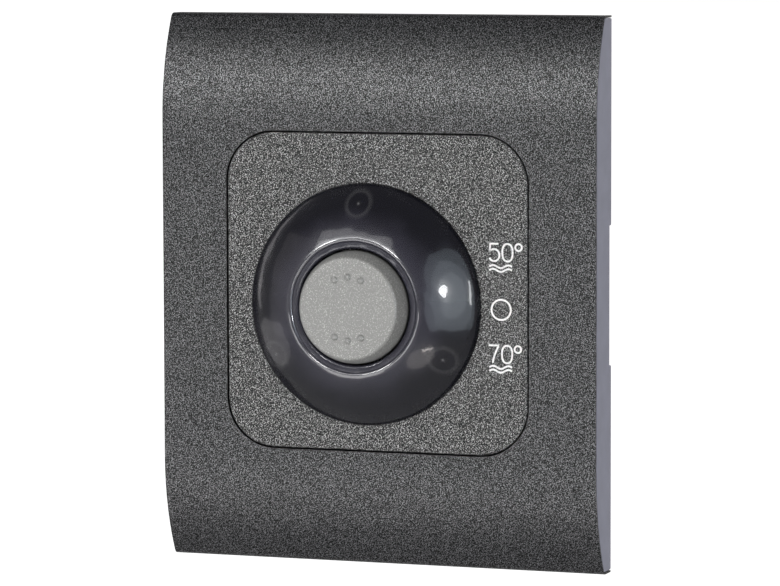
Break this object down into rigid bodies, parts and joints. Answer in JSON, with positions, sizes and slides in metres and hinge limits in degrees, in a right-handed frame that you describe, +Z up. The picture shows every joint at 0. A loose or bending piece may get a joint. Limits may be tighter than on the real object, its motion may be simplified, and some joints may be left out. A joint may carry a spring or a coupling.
{
  "type": "heater control panel",
  "caption": "Flush wall control panel for a caravan water heater: an arched cover frame with end trims, and a rocker in a domed smoked ring.",
  "frame": {"origin": "the centre of the four screw holes, on the wall's face", "axes": "+X to the viewer's right, +Y into the wall, +Z up"},
  "size_m": [0.087, 0.0336, 0.105],
  "materials": {
    "frame_plastic": "fine grained, with a dense sparkle",
    "panel_plastic": "coarse grained, with a sparkle",
    "trim_plastic": "satin silver grey",
    "smoked_lens": "polished smoked clear plastic",
    "rocker_plastic": "fine grained light grey",
    "steel": "plain steel",
    "switch_can_metal": "tinned steel",
    "switch_plastic": "black moulding",
    "contact_metal": "tinned brass",
    "board_laminate": "green solder mask",
    "lamp_yellow_plastic": "tinted clear",
    "lamp_red_plastic": "tinted clear",
    "spacer_plastic": "natural nylon",
    "resistor_body": "lacquered",
    "capacitor_sleeve": "shrink sleeve",
    "chip_plastic": "moulded",
    "socket_plastic": "natural nylon",
    "rear_plastic": "fine grained black"
  },
  "bodies": {
    "panel": {"cover_frame": "frame_plastic", "side_trim_left": "trim_plastic", "side_trim_right": "trim_plastic", "panel_housing": "panel_plastic", "lens_ring": "smoked_lens", "rocker_pin": "steel", "switch_can": "switch_can_metal", "switch_base": "switch_plastic", "switch_terminals": "contact_metal", "circuit_board": "board_laminate", "board_screws": "steel", "lamp_yellow": "lamp_yellow_plastic", "lamp_red": "lamp_red_plastic", "lamp_spacers": "spacer_plastic", "lamp_leads": "contact_metal", "resistors": "resistor_body", "capacitor": "capacitor_sleeve", "control_chip": "chip_plastic", "chip_legs": "contact_metal", "cable_socket": "socket_plastic", "socket_contacts": "contact_metal", "rear_cover": "rear_plastic"},
    "rocker": {"rocker_cap": "rocker_plastic"},
    "slider": {"switch_slider": "switch_plastic", "switch_wipers": "contact_metal"}
  },
  "joints": [
    {"name": "rocker_tilt", "type": "hinge", "parent": "panel", "child": "rocker", "pos_m": [-0.0021, -0.0145, -0.00225], "axis": [1, 0, 0], "range_deg": [-9, 9]},
    {"name": "slider_travel", "type": "slide", "parent": "panel", "child": "slider", "axis": [0, 0, 1], "range_m": [-0.0015, 0.0015]}
  ],
  "couplings": [
    {"joint": "slider_travel", "follows": "rocker_tilt", "m_per_rad": 0.0095}
  ]
}
